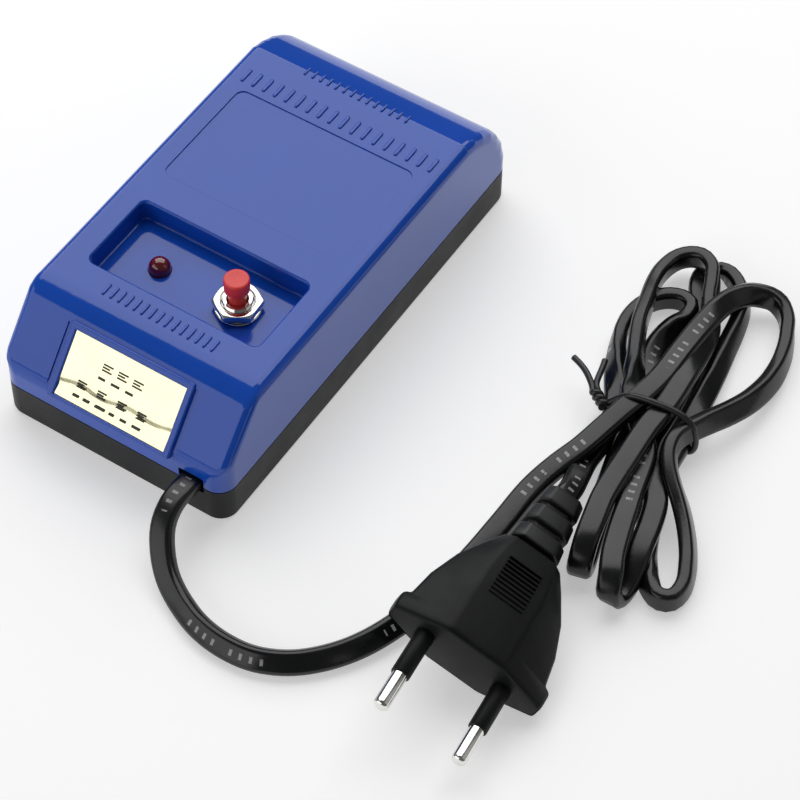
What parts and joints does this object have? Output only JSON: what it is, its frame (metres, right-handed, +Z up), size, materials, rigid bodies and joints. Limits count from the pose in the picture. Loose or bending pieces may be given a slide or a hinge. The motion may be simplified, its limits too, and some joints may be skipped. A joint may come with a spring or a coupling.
{
  "type": "bench demagnetiser",
  "caption": "Small mains demagnetiser: blue sloped case on a black base, pocket with push button and pilot lamp, coil inside, flat lead in a tied hank with a round-pin plug.",
  "frame": {"origin": "middle of the underside of the case, on the surface that it stands on, the lead and plug left out", "axes": "+Y runs from the label slope at the front to the back along the case's length, +X to the right seen from the front, +Z up through the button"},
  "size_m": [0.1475, 0.1472, 0.0344],
  "materials": {
    "case_blue": "glossy deep blue moulded plastic",
    "case_black": "satin charcoal moulded plastic",
    "gold_label": "mirror-like pale gold foil",
    "lamp_red": "dark red translucent lamp body, clear gloss",
    "button_red": "semi-gloss red",
    "nickel": "bright nickel plate",
    "zinc_steel": "dull zinc plate",
    "core_steel": "stacked laminations with dark scale",
    "copper": "bare or varnished copper",
    "board": "brown phenolic board",
    "nylon": "natural nylon",
    "component": "lacquered component body",
    "wire_pvc": "thin insulated wire",
    "lead_pvc": "glossy black soft sheath",
    "plug_black": "fine matt black moulding",
    "tie_black": "black coated wire"
  },
  "bodies": {
    "case": {"top_shell": "case_blue", "base_shell": "case_black", "case_screw_front_left": "zinc_steel", "case_screw_front_right": "zinc_steel", "case_screw_back_left": "zinc_steel", "case_screw_back_right": "zinc_steel", "label_plate": "gold_label", "lamp_lens": "lamp_red", "lamp_retainer": "case_black", "lamp_lead_left": "nickel", "lamp_lead_right": "nickel", "button_bushing": "nickel", "lock_washer": "nickel", "button_nut": "nickel", "switch_body": "case_black", "switch_terminal_left": "copper", "switch_terminal_right": "copper", "button_spring": "zinc_steel", "core_stack": "core_steel", "coil_bobbin": "nylon", "coil_winding": "copper", "core_bracket": "zinc_steel", "core_screw_left": "zinc_steel", "core_screw_right": "zinc_steel", "lamp_board": "board", "board_screw": "zinc_steel", "dropper_resistor": "component", "lamp_diode": "case_black", "wire_live": "wire_pvc", "wire_neutral": "wire_pvc", "wire_switched": "wire_pvc", "wire_lamp": "wire_pvc", "cord_clamp": "case_black", "clamp_screw_left": "zinc_steel", "clamp_screw_right": "zinc_steel", "plug_body": "plug_black", "plug_strain_relief": "lead_pvc", "plug_pin_left": "nickel", "plug_pin_right": "nickel", "plug_sleeve_left": "plug_black", "plug_sleeve_right": "plug_black", "cord_lead": "lead_pvc", "cord_tail": "lead_pvc", "cord_hank": "lead_pvc", "cord_tie": "tie_black"},
    "button": {"button_cap": "button_red", "contact_disc": "copper"}
  },
  "joints": [
    {"name": "button_press", "type": "slide", "parent": "case", "child": "button", "axis": [0, 0, -1], "range_m": [0, 0.0025], "stiffness_N_per_m": 300, "springref_m": -0.002, "deforming": ["button_spring"]}
  ]
}
